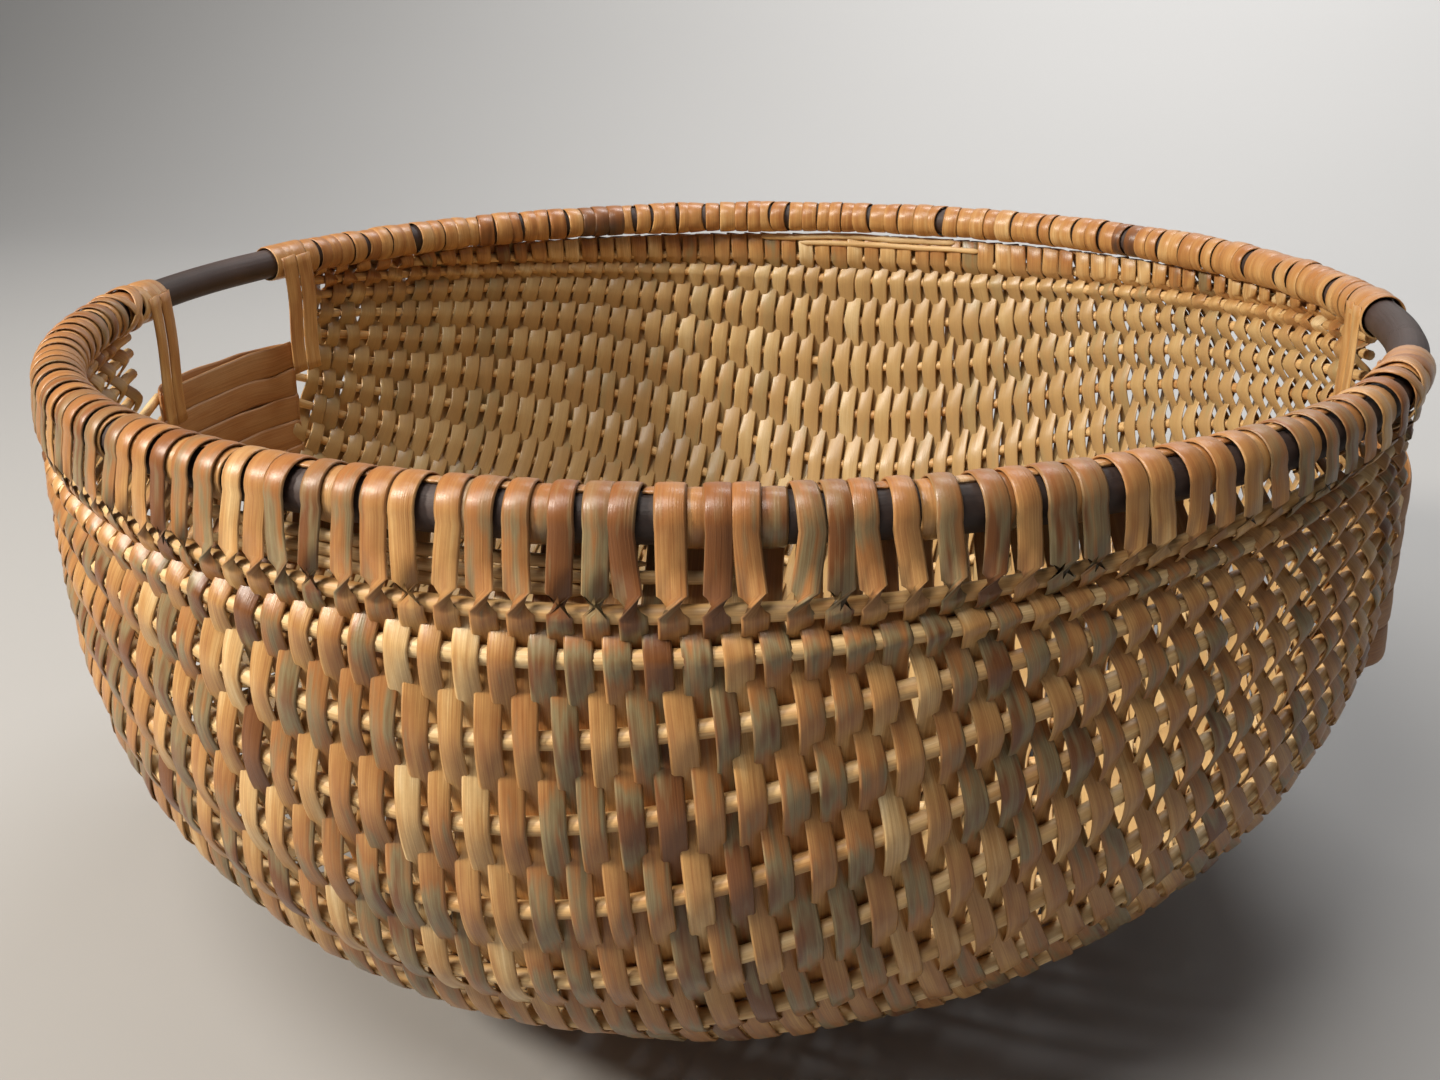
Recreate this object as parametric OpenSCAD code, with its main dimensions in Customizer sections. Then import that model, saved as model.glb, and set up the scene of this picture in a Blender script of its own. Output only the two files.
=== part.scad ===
// Round rib basket: a rod hoop for a rim, reed ribs that run from grip to grip, and flat splints woven
// over and under the ribs from the front of the rim to the back.
// X runs from the left grip to the right grip, Y from the front to the back, Z up. The basket stands on
// Z = 0 under the middle of the hoop.

/* [Rim] */
// Diameter of the rim hoop, measured along the middle of its rod
rim_d = 600; // [480:10:720]
// Diameter of the hoop rod, which is also the hand grip
hoop_rod_d = 16; // [12:0.5:22]
// Length of bare rod at each grip
grip_len = 104; // [80:2:140]
// Width of one turn of splint round the hoop
wrap_w = 8; // [5:0.5:10]
// Distance from one turn to the next along the hoop
wrap_pitch = 9.6; // [9:0.2:14]
// Thickness of the splint layers round the hoop
wrap_t = 3; // [2:0.25:5]
// Width of the broad splint turn at each end of a grip
collar_w = 21; // [14:1:30]

/* [Basket] */
// Depth from the middle of the hoop rod to the surface that the basket stands on
depth = 276; // [230:2:340]
// How far the ribs swell out past the hoop at the widest
belly = 10; // [4:1:20]
// How far below the hoop the basket is widest
waist = 66; // [56:1:80]
// How square the basket is from front to back: 2 is an ellipse
squareness = 3; // [2.4:0.1:3.6]
// Height of the hand opening under each grip
opening_h = 40; // [34:1:46]

/* [Ribs] */
// Diameter of the reed ribs
rib_d = 6.4; // [4.5:0.1:7.5]
// How much thinner a rib is shaved towards its two ends
rib_shave = 0.6; // [0.4:0.1:1]
// Diameter of the thin filler ribs under the hoop
filler_d = 4.2; // [3:0.1:5]
// Place of the uppermost rib above the widest level, in degrees about it
rib_rise = 7; // [6:0.5:8]
// Distance from one rib to the next near the rim, in degrees
rib_step = 5.1; // [4.5:0.1:5.5]
// How far the ribs' ends stand out past the middle of the hoop
end_out = 4; // [2:0.5:6]
// Distance from one rib's end down to the next, at the two ends of the basket
end_step = 9; // [7:0.2:9.4]

/* [Splints] */
// Width of a woven splint
splint_w = 6.2; // [4:0.1:6.4]
// Thickness of a woven splint
splint_t = 1.1; // [0.8:0.1:1.5]
// Distance from one row of splint to the next
row_pitch = 6.7; // [6.7:0.1:9]
// Height of a broad splint in the stack below each hand opening
band_h = 16; // [12:1:18]
// Clearance between pieces that lie against each other
gap = 0.3; // [0.2:0.05:0.6]

/* [Hidden] */
$fn = 48;
rim_r = rim_d / 2;
hoop_r = hoop_rod_d / 2;
rib_r = rib_d / 2;
wrap_in = hoop_r + gap;
wrap_out = wrap_in + wrap_t;
rim_z = depth;
waist_z = rim_z - waist;
end_x = rim_r + end_out;
// half sizes of the ribs' outline across the middle of the basket, about its widest level
out_y = rim_r + belly;
low_z = waist_z - rib_r - gap - splint_t;
// the outline bends in above that level, so that it meets the hoop at the rim's height
up_z = waist / pow(1 - pow(rim_r / out_y, squareness), 1 / squareness);

// Ribs: this many on each side of the keel rib. Their places round the outline open out towards the
// bottom, but the two uppermost lie closer together.
side_ribs = 13;
top_gap = 0.6;
spread = (90 + top_gap * rib_rise - (side_ribs - 1) * rib_step) / pow(side_ribs - 1, 2);
function slope(i) = i == 0 ? -rib_rise : -top_gap * rib_rise + rib_step * (i - 1) + spread * pow(i - 1, 2);
function reach(s) = pow(
    pow(abs(cos(s)) / out_y, squareness) + pow(abs(sin(s)) / (s < 0 ? up_z : low_z), squareness),
    -1 / squareness);

// Each rib lies in a plane of its own through the line between its two ends. The ends lie one below
// the other beside the hand openings and the stacks of broad splints.
end_drop = 2;
function end_z(i) = rim_z - end_drop - end_step * i;
function mid_y(i) = reach(slope(i)) * cos(slope(i));
function mid_z(i) = waist_z - reach(slope(i)) * sin(slope(i));
function tilt(i) = atan2(end_z(i) - mid_z(i), mid_y(i));
function span(i) = norm([mid_y(i), end_z(i) - mid_z(i)]);

// A rib is three tangent arcs: a long one in the middle and one at each end. They differ little from
// one circle where the rib stands out as far in the middle as the ends stand apart.
flatness = 0.3;
function even(r) = abs(end_x - r) < 0.5;
function end_r(r) = r - (end_x - r) * (r < end_x ? flatness : 1);
function mid_r(r) = even(r) ? r : (pow(end_x - end_r(r), 2) + r * r - pow(end_r(r), 2)) / (2 * (r - end_r(r)));
function turn(r) = even(r) ? 45 : atan(abs(end_x - end_r(r)) / abs(mid_r(r) - r));
// distance of a rib from the line between its ends, at x
function rib_at(r, x) = abs(x) <= mid_r(r) * sin(turn(r))
    ? r - mid_r(r) + sqrt(pow(mid_r(r), 2) - x * x)
    : sqrt(max(0, pow(end_r(r), 2) - pow(abs(x) - end_x + end_r(r), 2)));
// slope of a rib against X at x, as a tangent
function lean(r, x) = abs(x) <= mid_r(r) * sin(turn(r))
    ? abs(x) / sqrt(pow(mid_r(r), 2) - x * x)
    : (abs(x) - end_x + end_r(r)) / max(1, rib_at(r, x));

// How far from the line between its ends a rib stops. The uppermost stops short where it meets the
// turns round the hoop, and every second one of the others stops before its neighbours. The ribs beside
// the hand opening stop at its edge, and the low ones behind the broad splints.
open_ribs = 5;
hoop_stop = 0.55 * rim_r;
short_stop = 78;
edge_stop = 64;
band_stop = 44;
function stop_at(i) = i == 0 ? hoop_stop : i % 2 == 1 ? short_stop : i < open_ribs ? edge_stop : band_stop;

// Across the basket, ribs are numbered from the front rim round the bottom to the back rim
last_rib = 2 * side_ribs;
function fold(n) = n <= side_ribs ? n : last_rib - n;
function side(n) = n <= side_ribs ? -1 : 1;
function rib_point(n, x) = let (i = fold(n), q = rib_at(span(i), x))
    [side(n) * q * cos(tilt(i)), end_z(i) - q * sin(tilt(i))];
function unit(v) = v / norm(v);
function across(n, x) = unit(rib_point(min(n + 1, last_rib), x) - rib_point(max(n - 1, 0), x));
function outward(n, x) = let (d = across(n, x)) [d[1], -d[0]];

// Thin filler ribs: how many, how far the first stands out past the hoop and each next one past that
fillers = 3;
filler_swell = 3;
filler_out = filler_swell + fillers - 1 + filler_d / 2;

// Rows of splint: the middle rows are woven, the rows nearest the ends lie outside the ribs. They start
// just below the turns round the hoop.
under_rim = rim_z - wrap_out - gap;
weave_x = 0.79 * rim_r;
zones = 10;
rows = floor(2 * weave_x / row_pitch / zones);
zone_w = 2 * weave_x / zones;
// half length of the flat crest where a splint crosses a rib
crest = 2.6;
function row_x(zone, k) = -weave_x + zone * zone_w + (k + 0.5) * zone_w / rows;
function over(n, odd) = (n + odd) % 2 == 0 ? 1 : -1;
// how far a splint stands off the middle of a rib, and off the middle of the hoop, where it crosses at x
function stand_off(n, x) = let (l = lean(span(fold(n)), x))
    rib_r * sqrt(1 + l * l) + splint_w / 2 * l + gap + splint_t / 2;
function hoop_y(x) = sqrt(rim_r * rim_r - x * x);
function hoop_off(x) = (filler_out * rim_r + splint_w / 2 * abs(x)) / hoop_y(x) + gap + splint_t / 2;
function rim_point(x, hand, up) = [[hand * (hoop_y(x) + up * hoop_off(x)), under_rim], [hand, 0]];
// points along a woven row, each with the direction out of the basket there
function row_path(x, odd) = concat(
    [rim_point(x, -1, over(0, odd))],
    [for (n = [0:last_rib], e = [-1, 1]) let (o = outward(n, x))
        [rib_point(n, x) + o * over(n, odd) * stand_off(n, x) + across(n, x) * e * crest, o]],
    [rim_point(x, 1, over(last_rib, odd))]);
function strip(path, inner, outer) = concat(
    [for (p = path) p[0] + p[1] * outer],
    [for (i = [len(path) - 1:-1:0]) path[i][0] + path[i][1] * inner]);

// End rows: flat turns outside the ribs, stepping in towards their ends. The last few pass below the
// broad splints only, from one of the low ribs round the bottom to the same one on the other side.
end_rows = 13;
low_rows = 5;
end_row_w = 5;
first_reach = sqrt(end_x * end_x - weave_x * weave_x) - end_row_w;
last_reach = 92;
function end_row_x(k) = let (q = first_reach + (last_reach - first_reach) * k / (end_rows - 1))
    sqrt(end_x * end_x - q * q);
function end_row_rim(x, hand) = [[hand * hoop_y(x), under_rim], [hand, 0]];
// the first rib that a row meets: past the uppermost rib's end it is the next one
function end_row_first(x, low) = low ? open_ribs : rib_at(span(0), x) < hoop_stop - rib_d ? 1 : 0;
function end_row_path(x, low) = concat(
    low ? [] : [end_row_rim(x, -1)],
    [for (n = [end_row_first(x, low):last_rib - end_row_first(x, low)])
        let (o = outward(n, x), l = lean(span(fold(n)), x))
        [rib_point(n, x) + o * (rib_r * sqrt(1 + l * l) + gap), o]],
    low ? [] : [end_row_rim(x, 1)]);

// Turns round the hoop, by their place along it in degrees from the middle of a grip
grip_half = asin(grip_len / 2 / rim_r);
collar_turn = collar_w / rim_r * 180 / PI;
loop_tilt = 35;
loop_w = 6;
loop_in = wrap_in / cos(loop_tilt);
loop_out = loop_in + splint_t;
loop_turn = 2 * (loop_out * sin(loop_tilt) + loop_w / 2 * cos(loop_tilt) + gap) / rim_r * 180 / PI;
gap_turn = gap / rim_r * 180 / PI;
wrap_turn = wrap_w / rim_r * 180 / PI;
strap_t = 1.4;

// Broad splints below each hand opening, outside and inside the ends of the ribs
bands = 4;
band_turn = grip_half - 0.4;
band_top = rim_z - hoop_r - opening_h;
outer_band_r = end_x + rib_r + 2 * gap;
inner_band_r = end_x - 2 * rib_d;

// An arc about the Z axis at radius r, swept by a 2D outline
module ring(r, from, to) {
    rotate([0, 0, from]) rotate_extrude(angle = to - from, $fn = 180) translate([r, 0]) children();
}

module rim_hoop() {
    color("#3a2b28") translate([0, 0, rim_z]) rotate_extrude($fn = 180) translate([rim_r, 0]) circle(hoop_r);
}

// A rod along a rib's three arcs, in the XY plane and on the +Y side. The thinner end rods start just
// inside the middle one and stop short of the line between the ends.
module rib_rod(r, stop) {
    t = turn(r);
    e = end_r(r);
    m = mid_r(r);
    // the end rods start this far, in degrees, inside the middle one
    lap = 0.8;
    translate([0, r - m, 0]) ring(m, 90 - t, 90 + t) circle(rib_r);
    for (hand = [0, 1]) mirror([hand, 0, 0]) translate([end_x - e, 0, 0])
        ring(e, asin(stop / e), 90 - t + lap) circle(rib_r - rib_shave / 2);
}

module rib(i, back) {
    color("#d9b98a") mirror([0, back ? 0 : 1, 0]) translate([0, 0, end_z(i)]) rotate([-tilt(i), 0, 0])
        rib_rod(span(i), stop_at(i));
}

// Short thin reeds one below the other, between the hoop and the uppermost rib
module fillers(back) {
    // where each one begins and ends, in degrees round the hoop
    from = [62, 70, 66];
    to = [112, 104, 116];
    color("#dcc194") mirror([0, back ? 0 : 1, 0])
        for (k = [0:fillers - 1]) translate([0, 0, under_rim - (k + 0.5) * filler_d - k * gap])
            ring(rim_r + filler_swell + k, from[k], to[k]) circle(filler_d / 2);
}

module splints(zone) {
    color("#c08a4e") for (k = [0:rows - 1]) translate([row_x(zone, k) - splint_w / 2, 0, 0])
        rotate([90, 0, 90]) linear_extrude(splint_w)
            polygon(strip(row_path(row_x(zone, k), (zone * rows + k) % 2), -splint_t / 2, splint_t / 2));
}

module end_rows(hand) {
    color("#b98346") mirror([hand < 0 ? 1 : 0, 0, 0])
        for (k = [0:end_rows + low_rows - 1]) translate([end_row_x(k), 0, 0])
            rotate([90, 0, 90]) linear_extrude(splint_t)
                polygon(strip(end_row_path(end_row_x(k), k >= end_rows), 0, end_row_w));
}

module band_stack(hand) {
    color("#b07a40") mirror([hand < 0 ? 1 : 0, 0, 0])
        for (k = [0:bands - 1], r = [outer_band_r, inner_band_r])
            translate([0, 0, band_top - (k + 1) * (band_h + gap)])
                ring(r, -band_turn, band_turn) square([splint_t, band_h]);
}

module wraps(back) {
    start = grip_half + collar_turn + (back ? 2 * gap_turn : loop_turn + 2 * gap_turn);
    count = floor((180 - 2 * start) / (wrap_pitch / rim_r * 180 / PI));
    step = (180 - 2 * start) / count;
    color("#b5763d") mirror([0, back ? 0 : 1, 0]) translate([0, 0, rim_z])
        for (k = [0:count - 1]) ring(rim_r, start + k * step, start + k * step + wrap_turn) wrap_section();
}

module wrap_section() {
    difference() {
        circle(wrap_out);
        circle(wrap_in);
    }
}

// A broad turn round the hoop with a strap that hangs beside the hand opening
module collar(hand, back) {
    color("#c9a070") mirror([hand < 0 ? 1 : 0, 0, 0]) mirror([0, back ? 0 : 1, 0]) translate([0, 0, rim_z])
        union() {
            ring(rim_r, grip_half, grip_half + collar_turn) wrap_section();
            ring(rim_r - wrap_in - strap_t, grip_half, grip_half + collar_turn)
                translate([0, -hoop_r - opening_h - band_h]) square([strap_t, hoop_r + opening_h + band_h]);
        }
}

// A splint loop that crosses the hoop aslant beside the front collar
module loop(hand) {
    turn_to = grip_half + collar_turn + gap_turn + loop_turn / 2;
    color("#cdb083") mirror([hand < 0 ? 1 : 0, 0, 0]) rotate([0, 0, -turn_to])
        translate([rim_r, 0, rim_z]) rotate([90, 0, loop_tilt]) translate([0, 0, -loop_w / 2])
            difference() {
                cylinder(h = loop_w, r = loop_out);
                translate([0, 0, -1]) cylinder(h = loop_w + 2, r = loop_in);
            }
}

rim_hoop();
rib(side_ribs, true);  // rib_keel
for (i = [1:side_ribs]) {
    rib(i - 1, false);
    rib(i - 1, true);
}
fillers(false);  // fillers_front
fillers(true);  // fillers_back
for (z = [1:zones])
    splints(z - 1);
end_rows(-1);  // end_rows_left
end_rows(1);  // end_rows_right
band_stack(-1);  // bands_left
band_stack(1);  // bands_right
wraps(false);  // wraps_front
wraps(true);  // wraps_back
collar(-1, false);  // collar_left_front
collar(-1, true);  // collar_left_back
collar(1, false);  // collar_right_front
collar(1, true);  // collar_right_back
loop(-1);  // loop_left
loop(1);  // loop_right
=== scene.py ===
import math
import bpy
import numpy as np
from mathutils import Matrix


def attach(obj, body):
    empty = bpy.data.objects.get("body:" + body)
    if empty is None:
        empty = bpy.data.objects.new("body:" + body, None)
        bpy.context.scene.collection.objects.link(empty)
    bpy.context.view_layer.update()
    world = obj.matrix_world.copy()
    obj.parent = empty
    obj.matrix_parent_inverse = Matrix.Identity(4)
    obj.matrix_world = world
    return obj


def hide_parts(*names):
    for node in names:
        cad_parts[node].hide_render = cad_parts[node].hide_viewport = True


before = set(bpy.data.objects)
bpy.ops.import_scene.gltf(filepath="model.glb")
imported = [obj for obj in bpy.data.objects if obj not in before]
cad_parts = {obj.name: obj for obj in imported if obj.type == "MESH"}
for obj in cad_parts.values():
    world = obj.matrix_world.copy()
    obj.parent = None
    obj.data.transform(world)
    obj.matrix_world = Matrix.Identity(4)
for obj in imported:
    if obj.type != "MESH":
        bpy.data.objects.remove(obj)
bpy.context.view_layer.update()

rng = np.random.default_rng(11)
MM = 0.001

# Sizes in millimetres, as in the CAD: X from the left grip to the right, Y from the front to the back
RIM_R, HOOP_R, RIM_Z = 300.0, 8.0, 276.0
WAIST = 66.0
WAIST_Z = RIM_Z - WAIST
END_X, OUT_Y = 304.0, 310.0
SQUARE = 3.0
RIB_R, SPLINT_T, GAP = 3.2, 1.1, 0.3
FLOOR_ROOM = 1.0
LOW_Z = WAIST_Z - RIB_R - GAP - SPLINT_T - FLOOR_ROOM
UP_Z = WAIST / (1 - (RIM_R / OUT_Y) ** SQUARE) ** (1 / SQUARE)
GRIP_LEN, OPENING_H = 104.0, 40.0
GRIP_HALF = math.degrees(math.asin(GRIP_LEN / 2 / RIM_R))
COLLAR_TURN = 4.0

# Ribs: their places round the outline, in degrees about its widest level, and their ends
SIDE_RIBS = 13
LAST_RIB = 2 * SIDE_RIBS
RISE, STEP, TOP_GAP = 7.0, 5.1, 0.6
SPREAD = (90 + TOP_GAP * RISE - (SIDE_RIBS - 1) * STEP) / (SIDE_RIBS - 1) ** 2
END_DROP, END_STEP = 2.0, 9.0
FLAT = 0.3
EVEN = 0.5


# The basket's wall --------------------------------------------------------------------------------
def unit(a):
    return a / np.maximum(1e-9, np.linalg.norm(a, axis=-1, keepdims=True))


def fold(v):
    """The rib's number counted from the nearer rim."""
    return np.where(v <= SIDE_RIBS, v, LAST_RIB - v)


def slope(f):
    """Where a rib lies round the outline: below the widest level if positive."""
    first = -RISE + (1 - TOP_GAP) * RISE * f
    return np.radians(np.where(f < 1, first, -TOP_GAP * RISE + STEP * (f - 1) + SPREAD * (f - 1) ** 2))


def reach(s):
    half = np.where(s < 0, UP_Z, LOW_Z)
    return ((np.abs(np.cos(s)) / OUT_Y) ** SQUARE + (np.abs(np.sin(s)) / half) ** SQUARE) ** (-1 / SQUARE)


def rib_at(r, x):
    """Distance from the line between its ends, at x, of a rib that stands out by r in the middle."""
    r = np.where(np.abs(r - END_X) < EVEN, END_X + EVEN, r)
    e = r - (END_X - r) * np.where(r < END_X, FLAT, 1.0)
    m = ((END_X - e) ** 2 + r * r - e * e) / (2 * (r - e))
    turn_at = np.arctan(np.abs(END_X - e) / np.abs(m - r))
    middle = r - m + np.sqrt(np.maximum(0, m * m - x * x))
    end = np.sqrt(np.maximum(0, e * e - (np.abs(x) - END_X + e) ** 2))
    return np.where(np.abs(x) <= m * np.sin(turn_at), middle, end)


def surface(v, x):
    """A point of the wall. v runs by ribs from the front rim (0) under the bottom to the back rim."""
    v, x = np.broadcast_arrays(np.asarray(v, float), np.asarray(x, float))
    f = fold(v)
    s = slope(f)
    q0 = reach(s)
    y0, z0 = q0 * np.cos(s), WAIST_Z - q0 * np.sin(s)
    end_z = RIM_Z - END_DROP - END_STEP * f
    tilt = np.arctan2(end_z - z0, y0)
    q = rib_at(np.hypot(y0, end_z - z0), x)
    side = np.where(v < SIDE_RIBS, -1.0, 1.0)
    return np.stack([x, side * q * np.cos(tilt), end_z - q * np.sin(tilt)], -1)


def outward(v, x, dv=0.05, dx=0.5):
    along_v = surface(np.minimum(v + dv, LAST_RIB), x) - surface(np.maximum(v - dv, 0), x)
    along_x = surface(v, x + dx) - surface(v, x - dx)
    return unit(np.cross(along_x, along_v))


# The upper ribs draw up towards the rim by this share of their number, from the middle out to DRAW_X
DRAW_UP, DRAW_X = 0.40, 230.0


def rib_line(n, x):
    f = n if n <= SIDE_RIBS else LAST_RIB - n
    u = np.minimum(1.0, np.abs(x) / DRAW_X)
    lift = DRAW_UP * u * u * (3 - 2 * u)
    up = f * (1 - lift * (1 - f / SIDE_RIBS))
    return up if n <= SIDE_RIBS else LAST_RIB - up


# Mesh making --------------------------------------------------------------------------------------
def circle(sides):
    return [(math.cos(2 * math.pi * k / sides), math.sin(2 * math.pi * k / sides)) for k in range(sides)]


# A splint's outline, slightly crowned: across its width and through its thickness
STRIP = [(-1, 0), (-.82, .40), (0, .58), (.82, .40), (1, 0), (.82, -.40), (0, -.46), (-.82, -.40)]
ROD, REED_ROUND = circle(16), circle(10)


class Pile:
    """Gathers swept strips into one mesh, with what the materials read: lay (metres along, place
    across from -1 to 1, a number for each strip) and tone (how pale it is there)."""

    def __init__(self):
        self.v, self.f, self.lay, self.tone, self.n = [], [], [], [], 0

    def sweep(self, path, normal, half_w, thick, twist=0.0, tone=0.5, section=STRIP, closed=False):
        path = np.asarray(path, float)
        n, m = len(path), len(section)
        sec = np.array(section, float)
        if closed:
            tangent = unit(np.roll(path, -1, 0) - np.roll(path, 1, 0))
        else:
            tangent = unit(np.gradient(path, axis=0))
        normal = unit(normal - tangent * (normal * tangent).sum(-1, keepdims=True))
        wide = np.cross(tangent, normal)
        tw = np.broadcast_to(np.asarray(twist, float), (n,))[:, None]
        wide, normal = (wide * np.cos(tw) + normal * np.sin(tw), normal * np.cos(tw) - wide * np.sin(tw))
        hw = np.broadcast_to(np.asarray(half_w, float), (n,))[:, None, None]
        th = np.broadcast_to(np.asarray(thick, float), (n,))[:, None, None]
        pts = path[:, None] + wide[:, None] * sec[None, :, :1] * hw + normal[:, None] * sec[None, :, 1:] * th
        along = np.concatenate([[0], np.cumsum(np.linalg.norm(np.diff(path, axis=0), axis=1))])
        lay = np.stack([np.broadcast_to(along[:, None] * MM, (n, m)),
                        np.broadcast_to(sec[None, :, 0], (n, m)), np.full((n, m), rng.random())], -1)
        tones = np.broadcast_to(np.broadcast_to(np.asarray(tone, float), (n,))[:, None], (n, m))
        i, j = np.arange(n if closed else n - 1)[:, None], np.arange(m)[None]
        here, there, turned = self.n + i * m, self.n + ((i + 1) % n) * m, (j + 1) % m
        self.f += np.stack([here + j, here + turned, there + turned, there + j], -1).reshape(-1, 4).tolist()
        if not closed:
            self.f.append([self.n + k for k in range(m)][::-1])
            self.f.append([self.n + (n - 1) * m + k for k in range(m)])
        self.v.append(pts.reshape(-1, 3) * MM)
        self.lay.append(lay.reshape(-1, 3))
        self.tone.append(tones.reshape(-1))
        self.n += n * m

    def build(self, name, material, slot, *nodes):
        me = bpy.data.meshes.new(name)
        me.from_pydata(np.concatenate(self.v).tolist(), [], self.f)
        lay = me.attributes.new("lay", "FLOAT_VECTOR", "POINT")
        lay.data.foreach_set("vector", np.concatenate(self.lay).ravel().astype(np.float32))
        tone = me.attributes.new("tone", "FLOAT", "POINT")
        tone.data.foreach_set("value", np.concatenate(self.tone).astype(np.float32))
        me.materials.append(material)
        me.shade_smooth()
        me.validate()
        me.update()
        obj = bpy.data.objects.new(name, me)
        bpy.context.scene.collection.objects.link(obj)
        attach(obj, "root")
        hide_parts(*nodes)


def gentle(n, step, size):
    """n values of gentle noise, with a new value every step samples."""
    k = max(2, int(n / step) + 3)
    knots = rng.normal(0, size, k)
    return np.interp(np.linspace(0, k - 1, n), np.arange(k), knots)


def round_hoop(th, radius, t):
    """Points at radius from the rod's middle: th is the angle along the hoop from the front, and t
    the angle round the rod, 0 on the outer side and a quarter turn at the top. Also their normals."""
    rad = RIM_R + radius * np.cos(t)
    pts = np.stack([rad * np.sin(th), -rad * np.cos(th), RIM_Z + radius * np.sin(t)], -1)
    return pts, np.stack([np.cos(t) * np.sin(th), -np.cos(t) * np.cos(th), np.sin(t)], -1)


def upright(th, rad, z, lean=0.0):
    """Points at a level and distance from the basket's axis, with normals that face out."""
    pts = np.stack([rad * np.sin(th), -rad * np.cos(th), z + 0 * th], -1)
    return pts, np.stack([np.sin(th), -np.cos(th), 0 * th + lean], -1)


# Materials ----------------------------------------------------------------------------------------
class Nodes:
    def __init__(self, name):
        self.mat = bpy.data.materials.new(name)
        self.mat.use_nodes = True
        self.tree = self.mat.node_tree
        self.shader = self.tree.nodes["Principled BSDF"]

    def add(self, kind, **values):
        node = self.tree.nodes.new(kind)
        for key, value in values.items():
            if hasattr(node, key):
                setattr(node, key, value)
            else:
                node.inputs[key.replace("_", " ")].default_value = value
        return node

    def link(self, a, b):
        self.tree.links.new(a, b)

    def put(self, value, socket):
        """Links a socket, or sets a number or a colour."""
        if isinstance(value, (int, float)):
            socket.default_value = value
        elif isinstance(value, tuple):
            socket.default_value = (*value, 1) if len(socket.default_value) == 4 else value
        else:
            self.link(value, socket)

    def math(self, op, a, b, clamp=False):
        node = self.add("ShaderNodeMath", operation=op, use_clamp=clamp)
        self.put(a, node.inputs[0])
        self.put(b, node.inputs[1])
        return node.outputs[0]

    def vector(self, op, a, b=None):
        node = self.add("ShaderNodeVectorMath", operation=op)
        self.put(a, node.inputs[0])
        if b is not None:
            self.put(b, node.inputs[1])
        return node.outputs["Value" if op == "DOT_PRODUCT" else "Vector"]

    def mix(self, fac, a, b, blend="MIX"):
        node = self.add("ShaderNodeMix", data_type="RGBA", blend_type=blend)
        for value, socket in ((fac, 0), (a, 6), (b, 7)):
            self.put(value, node.inputs[socket])
        return node.outputs[2]

    def height_of(self, vector):
        node = self.add("ShaderNodeSeparateXYZ")
        self.link(vector, node.inputs[0])
        return node.outputs[2]

    def noise(self, vector, scale, detail, rough=0.5):
        node = self.add("ShaderNodeTexNoise", Scale=scale, Detail=detail, Roughness=rough)
        self.link(vector, node.inputs["Vector"])
        return node.outputs[0]

    def ramp(self, fac, *stops):
        node = self.add("ShaderNodeValToRGB")
        els = node.color_ramp.elements
        while len(els) < len(stops):
            els.new(0.5)
        for el, (pos, col) in zip(els, stops):
            el.position = pos
            el.color = (*col, 1) if isinstance(col, tuple) else (col, col, col, 1)
        self.link(fac, node.inputs[0])
        return node.outputs[0]


GREY, BROWN, TAN = (0.27, 0.215, 0.11), (0.19, 0.070, 0.020), (0.40, 0.175, 0.055)
HONEY, CREAM, PALE = (0.58, 0.325, 0.115), (0.76, 0.53, 0.25), (0.88, 0.70, 0.41)
OLIVE = (0.43, 0.30, 0.135)
SUNNED = (0.34, 0.125, 0.035)
# Pale cream painted on as a highlight along the strips' edges
EDGE_PAINTED_HIGHLIGHT = (0.80, 0.62, 0.36)
DIRT = (0.16, 0.08, 0.03)
SPLINT_GRAIN = (0.50, 0.32, 0.18)


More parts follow.
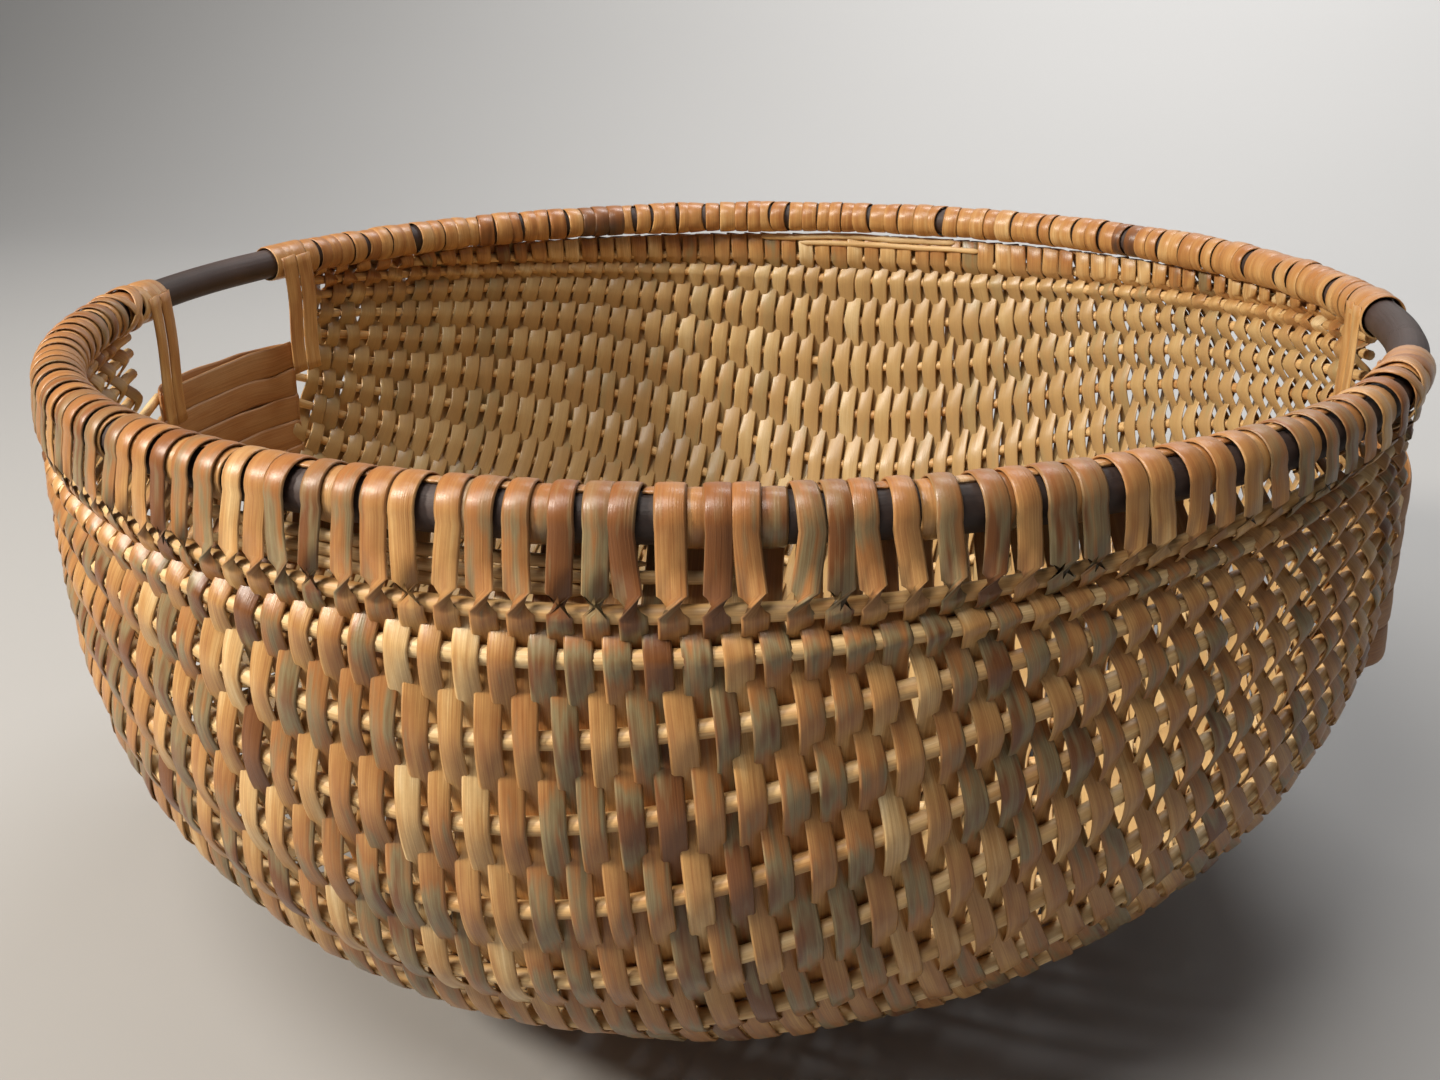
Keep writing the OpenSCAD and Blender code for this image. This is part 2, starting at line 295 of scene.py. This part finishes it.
def wood(name, stops, grain_dark, rough, streak=9.0, edge=0.0, warm_top=0.0, bump=0.35, dull_inside=0.0):
    """Split wood: grain that runs along each strip, stains, specks, worn brown on top of the rim,
    painted highlights along the strips' edges, and a duller olive face inside the basket."""
    g = Nodes(name)
    lay = g.add("ShaderNodeAttribute", attribute_name="lay")
    tone = g.add("ShaderNodeAttribute", attribute_name="tone").outputs["Fac"]
    split = g.add("ShaderNodeSeparateXYZ")
    g.link(lay.outputs["Vector"], split.inputs[0])
    along, across, seed = split.outputs
    surface_at = g.add("ShaderNodeNewGeometry")
    pos, normal = surface_at.outputs["Position"], surface_at.outputs["Normal"]

    def laid(a, c, s):
        node = g.add("ShaderNodeCombineXYZ")
        for k, (value, by) in enumerate(((along, a), (across, c), (seed, s))):
            g.link(g.math("MULTIPLY", value, by), node.inputs[k])
        return node.outputs[0]

    fine = g.noise(laid(22.0, streak, 91.0), 1.0, 4.0, 0.62)
    broad = g.noise(laid(38.0, 1.1, 57.0), 1.0, 2.0)
    stain = g.noise(pos, 17.0, 3.0, 0.55)
    speck = g.noise(pos, 900.0, 2.0)

    shade = g.math("ADD", tone, g.math("MULTIPLY", g.math("SUBTRACT", broad, 0.5), 0.75))
    shade = g.math("ADD", shade, g.math("MULTIPLY", g.math("SUBTRACT", stain, 0.5), 0.55), clamp=True)
    colour = g.ramp(shade, *stops)
    lines = g.ramp(fine, (0.36, 1.0), (0.62, 0.0))
    colour = g.mix(g.math("MULTIPLY", lines, 0.5), colour, g.mix(1.0, colour, grain_dark, "MULTIPLY"))
    if warm_top:
        top = g.math("MULTIPLY", g.math("SUBTRACT", g.height_of(pos), RIM_Z * MM - 0.002), 90.0, clamp=True)
        top = g.math("MULTIPLY", top, g.math("MULTIPLY", stain, 2.0 * warm_top), clamp=True)
        colour = g.mix(top, colour, SUNNED)
    if dull_inside:
        ray = g.vector("NORMALIZE", g.vector("SUBTRACT", pos, (0.0, 0.0, 0.8 * RIM_Z * MM)))
        inside = g.math("MULTIPLY", g.vector("DOT_PRODUCT", ray, normal), -2.5, clamp=True)
        below = g.math("MULTIPLY", g.math("SUBTRACT", 0.93 * RIM_Z * MM, g.height_of(pos)), 60.0, clamp=True)
        colour = g.mix(g.math("MULTIPLY", g.math("MULTIPLY", inside, below), dull_inside), colour, OLIVE)
    # Painted highlight: the colour is lightened towards both edges of each strip
    if edge:
        side = g.math("MULTIPLY", g.math("SUBTRACT", g.math("ABSOLUTE", across, 0.0), 0.9), 10.0, clamp=True)
        colour = g.mix(g.math("MULTIPLY", side, edge), colour, EDGE_PAINTED_HIGHLIGHT)
    colour = g.mix(g.math("MULTIPLY", speck, 0.16), colour, DIRT)
    g.link(colour, g.shader.inputs["Base Color"])
    g.link(g.math("ADD", rough - 0.1, g.math("MULTIPLY", fine, 0.22)), g.shader.inputs["Roughness"])
    g.shader.inputs["Specular IOR Level"].default_value = 0.5
    b = g.add("ShaderNodeBump", Strength=bump, Distance=0.0004)
    g.link(g.math("ADD", fine, g.math("MULTIPLY", speck, 0.25)), b.inputs["Height"])
    g.link(b.outputs[0], g.shader.inputs["Normal"])
    return g.mat


SPLINT = wood("splint_weave",
              [(0.0, BROWN), (0.16, GREY), (0.30, TAN), (0.60, HONEY), (0.84, CREAM), (1.0, PALE)],
              SPLINT_GRAIN, 0.34, edge=0.15, warm_top=0.55, dull_inside=0.7)
WRAP = wood("splint_wrap",
            [(0.0, (0.07, 0.04, 0.03)), (0.2, BROWN), (0.42, TAN), (0.68, HONEY), (0.95, CREAM)],
            SPLINT_GRAIN, 0.33, edge=0.12, warm_top=0.6)
BROAD = wood("splint_broad", [(0.0, BROWN), (0.4, TAN), (0.8, (0.50, 0.28, 0.12)), (1.0, HONEY)],
             (0.50, 0.34, 0.22), 0.5, streak=14.0)
REED = wood("reed", [(0.0, TAN), (0.35, HONEY), (0.7, CREAM), (1.0, PALE)],
            (0.55, 0.38, 0.24), 0.5, streak=5.0)
BARK = wood("hoop_rod", [(0.0, (0.012, 0.008, 0.008)), (0.5, (0.035, 0.021, 0.02)),
                         (1.0, (0.075, 0.052, 0.048))],
            (0.5, 0.42, 0.4), 0.62, streak=7.0, bump=0.7)


# Hoop rod -----------------------------------------------------------------------------------------
def hoop_rod():
    pile = Pile()
    a = np.radians(np.arange(0, 360, 1.5))
    path = np.stack([RIM_R * np.cos(a), RIM_R * np.sin(a), np.full_like(a, RIM_Z)], -1)
    thick = HOOP_R * (1 + 0.02 * np.sin(5 * a + 1) + 0.015 * np.sin(11 * a))
    up = np.array([[0, 0, 1.0]]) + 0 * path
    pile.sweep(path, up, thick, thick, section=ROD, closed=True, tone=0.5 + 0.2 * np.sin(7 * a))
    pile.build("hoop", BARK, "hoop_rod", "rim_hoop")


# Ribs ---------------------------------------------------------------------------------------------
OPEN_RIBS = 5
RIB_SAMPLES = 110
RIB_TAPER = 0.22


def rib_end(f):
    """How far a rib runs to either side, as an angle: the uppermost ends at the turns round the hoop."""
    return math.radians(60 if f == 0 else 76 if f < OPEN_RIBS else 80)


def ribs():
    front, back = Pile(), Pile()
    for n in range(LAST_RIB + 1):
        half = rib_end(min(n, LAST_RIB - n))
        x = END_X * np.sin(np.linspace(-half, half, RIB_SAMPLES))
        v = rib_line(n, x)
        normal = outward(v, x)
        path = surface(v, x) + normal * gentle(RIB_SAMPLES, 12, 0.25)[:, None]
        r = RIB_R * (1 - RIB_TAPER * (np.abs(x) / END_X) ** 4) * (1 + gentle(RIB_SAMPLES, 9, 0.025))
        tone = 0.62 + rng.normal(0, 0.09) + gentle(RIB_SAMPLES, 6, 0.05)
        (front if n < SIDE_RIBS else back).sweep(path, normal, r, r, section=REED_ROUND, tone=tone)
    names = [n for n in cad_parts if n.startswith("rib_")]
    front.build("ribs_front", REED, "reed", *[n for n in names if n.startswith("rib_front")])
    back.build("ribs_back", REED, "reed", *[n for n in names if not n.startswith("rib_front")])


# Woven splints ------------------------------------------------------------------------------------
ZONES = 10
ROW_PITCH = 6.6
LAST_ROW = 1.36
# The rows lean out from the middle as they leave the rim, less so near the two ends
FAN, FAN_MID, FAN_DEPTH, FAN_END = 0.18, 0.10, 80.0, 1.5
STAND = RIB_R + SPLINT_T / 2 - 0.1
ZIG = 0.55
PER_RIB = 8
LONG_OUT, SHORT_OUT = 2.0, 0.6
HALF_W, BACK_WIDER = 4.3, 0.9
# Painted shade: how much darker a row is made where it passes under a rib, in the recess
RECESS_PAINTED_SHADE = 0.26
CROSS_TWIST = math.radians(13)
ROW_STRAIGHT = 0.35


def row_x(phi, v):
    """Where the row that crosses the bottom at angle phi lies as it passes v."""
    x = END_X * np.sin(phi) + 0 * v
    fan = FAN * (phi - FAN_MID) * (1 - (abs(phi) / FAN_END) ** 4)
    for _ in range(2):
        depth = RIM_Z - surface(v, x)[..., 2]
        x = END_X * np.sin(phi - fan * np.exp(-np.maximum(0, depth) / FAN_DEPTH))
    return x


def crossings(phi):
    """The v at which a row crosses each rib."""
    found = []
    for n in range(LAST_RIB + 1):
        v = np.array(float(n))
        for _ in range(3):
            v = rib_line(n, row_x(phi, v))
        found.append(float(v))
    return np.array(found)


def hoop_arc(theta, start, stop, radius, samples, drift):
    t = np.radians(np.linspace(start, stop, samples))
    return round_hoop(theta + np.linspace(0, drift, samples), radius, t)


def long_wrap(theta, first):
    """Round the rod from inside, over the top and down the outside to the row's first point."""
    arc, arc_n = hoop_arc(theta + rng.normal(0, 0.002), 235, -8, HOOP_R + LONG_OUT, 20,
                          rng.normal(0.003, 0.005))
    drop = [arc[-1] + (first - arc[-1]) * q + arc_n[-1] * out for q, out in ((0.35, 1.2), (0.7, 1.6))]
    return np.concatenate([arc, drop]), np.concatenate([arc_n, arc_n[-1:], arc_n[-1:]])


def tucked_wrap(theta, first, first_n, all_round):
    """Comes up inside the wall. Every second one goes right round the rod, the others to its top."""
    stop, samples = (-62, 18) if all_round else (75, 10)
    arc, arc_n = hoop_arc(theta, stop, 215, HOOP_R + SHORT_OUT, samples, 0.004)
    inner = arc[-1] * 0.55 + first * 0.45
    inner = inner - unit(inner * [1, 1, 0]) * 2.5
    return np.concatenate([arc, [inner]]), np.concatenate([arc_n, [first_n]])


def woven_row(pile, k, phi):
    at_rib = crossings(phi)
    over = np.where((np.arange(LAST_RIB + 1) + k) % 2 == 0, 1.0, -1.0)
    t = np.arange(0, LAST_RIB * PER_RIB + 1) / PER_RIB
    i = np.minimum(t.astype(int), LAST_RIB - 1)
    f = t - i
    v = at_rib[i] * (1 - f) + at_rib[i + 1] * f
    ease = (1 - ROW_STRAIGHT) * (0.5 - 0.5 * np.cos(np.pi * f)) + ROW_STRAIGHT * f
    wave = over[i] * (1 - ease) + over[i + 1] * ease
    x = row_x(phi, v) - ZIG * wave + gentle(len(t), 14, 0.35)
    normal = outward(v, x)
    lift = STAND + gentle(len(t), 16, 0.12)
    path = surface(v, x) + normal * (wave * lift)[:, None]
    twist = CROSS_TWIST * (1 - wave ** 2) + gentle(len(t), 10, 0.07)
    # The tone is lowered where the row passes under a rib: painted shade in the recesses
    tone = 0.52 + rng.normal(0, 0.15) + gentle(len(t), 9, 0.11) - RECESS_PAINTED_SHADE * (1 - wave) / 2
    half_w = HALF_W + rng.normal(0, 0.22) + gentle(len(t), 20, 0.1) + BACK_WIDER * np.clip((t - 12) / 6, 0, 1)

    theta = math.atan2(x[0], -path[0][1])
    if over[0] < 0:
        head, head_n = long_wrap(theta, path[0])
    else:
        head, head_n = tucked_wrap(theta, path[0], normal[0], (k // 2) % 2 == 0)
    h = len(head)
    under_rod = np.array([RIM_R * math.sin(theta), RIM_R * math.cos(theta), RIM_Z - HOOP_R])
    tail = path[-1] + (under_rod - path[-1]) * 0.8
    path = np.concatenate([head, path, [tail]])
    normal = np.concatenate([head_n, normal, normal[-1:]])
    twist = np.concatenate([np.zeros(h), twist, twist[-1:]])
    tone = np.concatenate([tone[0] + np.linspace(rng.normal(-0.02, 0.1), 0, h), tone, tone[-1:]])
    half_w = np.concatenate([half_w[0] * np.linspace(rng.uniform(0.72, 1.12), 1, h), half_w, half_w[-1:]])
    pile.sweep(path, normal, half_w, SPLINT_T, twist, tone)


def weave():
    rows = int(2 * LAST_ROW * END_X / ROW_PITCH)
    zones = [Pile() for _ in range(ZONES)]
    for k in range(rows):
        phi = -LAST_ROW + (k + 0.5) * 2 * LAST_ROW / rows + rng.normal(0, 0.0012)
        woven_row(zones[min(ZONES - 1, int(ZONES * k / rows))], k, phi)
    for z, pile in enumerate(zones):
        end = ["end_rows_left"] if z == 0 else ["end_rows_right"] if z == ZONES - 1 else []
        pile.build(f"weave_{z + 1}", SPLINT, "splint", f"splints_{z + 1}", *end)


# Thin filler reeds under the hoop -----------------------------------------------------------------
FILLER_R, FILLER_STEP, FILLER_TOP = 2.1, 4.3, 13.6
FILLER_SPANS = {"front": [(-19, 13), (-15, 18), (-17, 10)], "back": [(-14, 12), (-9, 15)]}
FILLER_SAMPLES = 50


def fillers():
    count = np.arange(FILLER_SAMPLES)
    taper = np.minimum(1, np.minimum(count, count[::-1]) / 2.5 + 0.25)
    for word, side in (("front", -1), ("back", 1)):
        pile = Pile()
        for k, (lo, hi) in enumerate(FILLER_SPANS[word]):
            th = np.radians(np.linspace(lo, hi, FILLER_SAMPLES))
            rad = RIM_R + 1.5 + k
            z = RIM_Z - FILLER_TOP - FILLER_STEP * k + gentle(FILLER_SAMPLES, 12, 0.3)
            path = np.stack([rad * np.sin(th), side * rad * np.cos(th), z], -1)
            normal = np.stack([np.sin(th), side * np.cos(th), 0 * th], -1)
            pile.sweep(path, normal, FILLER_R * taper, FILLER_R * taper, section=REED_ROUND,
                       tone=0.72 + rng.normal(0, 0.08))
        pile.build(f"fillers_{word}_reeds", REED, "reed", f"fillers_{word}")


# Turns round the hoop -----------------------------------------------------------------------------
TURN_SAMPLES = 26
GRIP_EDGE = math.radians(90 - GRIP_HALF - COLLAR_TURN) - 0.004
# Two short stretches of the back rim are wrapped in nearly black splint
DARK_TURNS = ((-0.62, 0.05), (0.60, 0.03))
DARK_TONE = 0.04


def turn(pile, theta, half_w, lean, tone, rad=HOOP_R + 1.25):
    """A closed turn of splint round the rod, theta from the front, leaning along the hoop."""
    t = np.linspace(0, 2 * math.pi, TURN_SAMPLES, endpoint=False)
    th = theta + lean * np.cos(t + rng.random() * 0.6)
    path, normal = round_hoop(th, rad * (1 + 0.03 * rng.normal()), t)
    pile.sweep(path, normal, half_w, SPLINT_T, rng.normal(0, 0.05), tone, closed=True)


def row_edge(phi):
    at_rim = surface(0.0, row_x(phi, np.array(0.0)))
    return math.atan2(at_rim[0], -at_rim[1])


def rim_turns():
    front, back = Pile(), Pile()
    for lo, hi in ((-GRIP_EDGE, row_edge(-LAST_ROW)), (row_edge(LAST_ROW), GRIP_EDGE)):
        th = lo
        while th < hi:
            w = rng.uniform(7.0, 10.0)
            turn(front, th + w / 2 / RIM_R, w / 2, rng.normal(0, 0.012), 0.55 + rng.normal(0, 0.12))
            th += (w - 0.6) / RIM_R
    th = -GRIP_EDGE
    while th < GRIP_EDGE:
        w = rng.uniform(7.5, 11.0)
        tone = 0.62 + rng.normal(0, 0.09)
        if any(abs(th - mid) < half for mid, half in DARK_TURNS):
            tone = DARK_TONE
        turn(back, math.pi - th - w / 2 / RIM_R, w / 2, rng.normal(0, 0.006), tone)
        th += (w + 0.2) / RIM_R
    front.build("wraps_front_turns", WRAP, "splint_wrap", "wraps_front")
    back.build("wraps_back_turns", WRAP, "splint_wrap", "wraps_back")


# Grips: collars with their straps, the loops beside them, and the broad bands below the openings ----
COLLAR_OFFSETS, COLLAR_HALF_W = (-0.024, 0.0, 0.024), 6.2
STRAP_OFFSETS, STRAP_HALF_W, STRAP_T, STRAP_LEN = (-0.022, 0.016), 5.4, 1.2, 56
LOOPS = ((0.035, 3.0), (-0.03, 3.0), (0.045, 2.6))
LOOP_OUT, LOOP_PAST_COLLAR = 2.6, 3.2
BANDS, BAND_HALF, BAND_BEND = 5, 0.20, 0.13
BAND_STEP, BAND_HALF_W, BAND_T = 15.5, 8.1, 1.4
# Distance of the outer and the inner stack from the axis, and how far their ends tuck in
BAND_STACKS = ((END_X + 3.4, 9.0), (END_X - 5.0, 0.0))


def collar(theta, name, node):
    pile = Pile()
    for j, off in enumerate(COLLAR_OFFSETS):
        turn(pile, theta + off, COLLAR_HALF_W, rng.normal(0, 0.004), 0.7 + rng.normal(0, 0.05),
             HOOP_R + 1.5 + 0.4 * (j % 2))
    for off in STRAP_OFFSETS:
        z = np.linspace(4, -HOOP_R - STRAP_LEN, 14)
        path, normal = upright(theta + off + 0.004 * np.sin(z / 11), RIM_R - HOOP_R - 2.0, RIM_Z + z)
        pile.sweep(path, normal, STRAP_HALF_W, STRAP_T, 0.0, 0.6 + rng.normal(0, 0.05))
    pile.build(name, WRAP, "splint_pale", node)


def loop(hand, name, node):
    pile = Pile()
    theta = hand * (math.pi / 2 - math.radians(GRIP_HALF + COLLAR_TURN + LOOP_PAST_COLLAR))
    t = np.linspace(0, 2 * math.pi, 30, endpoint=False)
    for lean, half_w in LOOPS:
        path, normal = round_hoop(theta + hand * lean * np.sin(t), HOOP_R + LOOP_OUT, t)
        pile.sweep(path, normal, half_w, 1.0, 0.0, 0.75, closed=True)
    pile.build(name, WRAP, "splint_pale", node)


def band_stack(hand, name, node):
    pile = Pile()
    off = np.linspace(-BAND_HALF, BAND_HALF, 30)
    for rad, tuck in BAND_STACKS:
        bent = rad - tuck * np.clip((np.abs(off) - BAND_BEND) / (BAND_HALF - BAND_BEND), 0, 1) ** 2
        for j in range(BANDS):
            z = RIM_Z - HOOP_R - OPENING_H - 8 - j * BAND_STEP + gentle(30, 6, 0.5)
            path, normal = upright(hand * math.pi / 2 + off, bent, z, lean=0.05)
            pile.sweep(path, normal, BAND_HALF_W + gentle(30, 8, 0.3), BAND_T, rng.normal(0, 0.04),
                       0.5 + rng.normal(0, 0.12))
    pile.build(name, BROAD, "splint_broad", node)


def grips():
    for hand, word in ((-1, "left"), (1, "right")):
        mid = hand * (math.pi / 2 - math.radians(GRIP_HALF + COLLAR_TURN / 2))
        for theta, end in ((mid, "front"), (math.pi - mid, "back")):
            collar(theta, f"collar_{word}_{end}_turns", f"collar_{word}_{end}")
        loop(hand, f"loop_{word}_turns", f"loop_{word}")
        band_stack(hand, f"bands_{word}_strips", f"bands_{word}")


hoop_rod()
ribs()
weave()
fillers()
rim_turns()
grips()


# Camera, lights, floor ----------------------------------------------------------------------------
def placed(obj, x_axis, y_axis, z_axis, place):
    m = np.eye(4)
    m[:3, 0], m[:3, 1], m[:3, 2], m[:3, 3] = x_axis, y_axis, z_axis, place
    obj.matrix_world = Matrix(m.tolist())
    bpy.context.scene.collection.objects.link(obj)


def camera():
    data = bpy.data.cameras.new("camera")
    data.sensor_width = 36.0
    data.lens = 36.2
    data.clip_start = 0.01
    cam = bpy.data.objects.new("camera", data)
    right = np.array([0.95034, 0.31088, -0.01411])
    down = np.array([0.09774, -0.34121, -0.93489])
    ahead = np.array([-0.29545, 0.88709, -0.35466])
    placed(cam, right, -down, -ahead, (0.2136, -0.6625, 0.4194))
    bpy.context.scene.camera = cam


def area(name, place, aim, size, power, colour):
    data = bpy.data.lights.new(name, "AREA")
    data.shape = "DISK"
    data.size = size
    data.energy = power
    data.color = colour
    back = unit(np.array(place) - np.array(aim))
    side = unit(np.cross([0, 0, 1.0], back))
    placed(bpy.data.objects.new(name, data), side, np.cross(back, side), back, place)


def studio():
    area("key", (-1.5, -1.15, 1.45), (0, 0, 0.2), 0.35, 58.0, (1.0, 0.93, 0.82))
    area("top", (-0.3, -0.95, 1.9), (0, 0.0, 0.2), 0.9, 27.0, (1.0, 0.96, 0.90))
    area("fill", (1.6, -0.9, 0.9), (0, 0, 0.15), 1.4, 0.4, (1.0, 0.93, 0.86))
    area("backdrop", (0.3, 1.3, 2.6), (0.0, 3.0, 0.9), 1.6, 120.0, (0.96, 0.98, 1.0))
    world = bpy.data.worlds.new("studio")
    world.use_nodes = True
    world.node_tree.nodes["Background"].inputs[0].default_value = (0.93, 0.95, 1.0, 1)
    world.node_tree.nodes["Background"].inputs[1].default_value = 0.10
    bpy.context.scene.world = world
    bpy.context.scene.view_settings.view_transform = "Standard"


def floor():
    """A pale floor that curves up into a backdrop behind the basket."""
    back_y, bend, half_w, front_y, top_z = 1.6, 1.5, 6.0, -5.0, 5.0
    profile = [(front_y, 0.0), (back_y, 0.0)]
    for t in np.linspace(0.1, math.pi / 2, 14):
        profile.append((back_y + bend * math.sin(t), bend * (1 - math.cos(t))))
    profile.append((back_y + bend, top_z))
    me = bpy.data.meshes.new("floor")
    me.from_pydata([(x, y, z) for y, z in profile for x in (-half_w, half_w)], [],
                   [(2 * k, 2 * k + 1, 2 * k + 3, 2 * k + 2) for k in range(len(profile) - 1)])
    me.shade_smooth()
    g = Nodes("floor_paint")
    mottle = g.add("ShaderNodeTexNoise", Scale=3.0, Detail=3.0).outputs[0]
    g.link(g.ramp(mottle, (0.3, (0.33, 0.32, 0.31)), (0.7, (0.36, 0.35, 0.34))), g.shader.inputs["Base Color"])
    g.shader.inputs["Roughness"].default_value = 0.7
    me.materials.append(g.mat)
    obj = bpy.data.objects.new("floor", me)
    bpy.context.scene.collection.objects.link(obj)


camera()
studio()
floor()
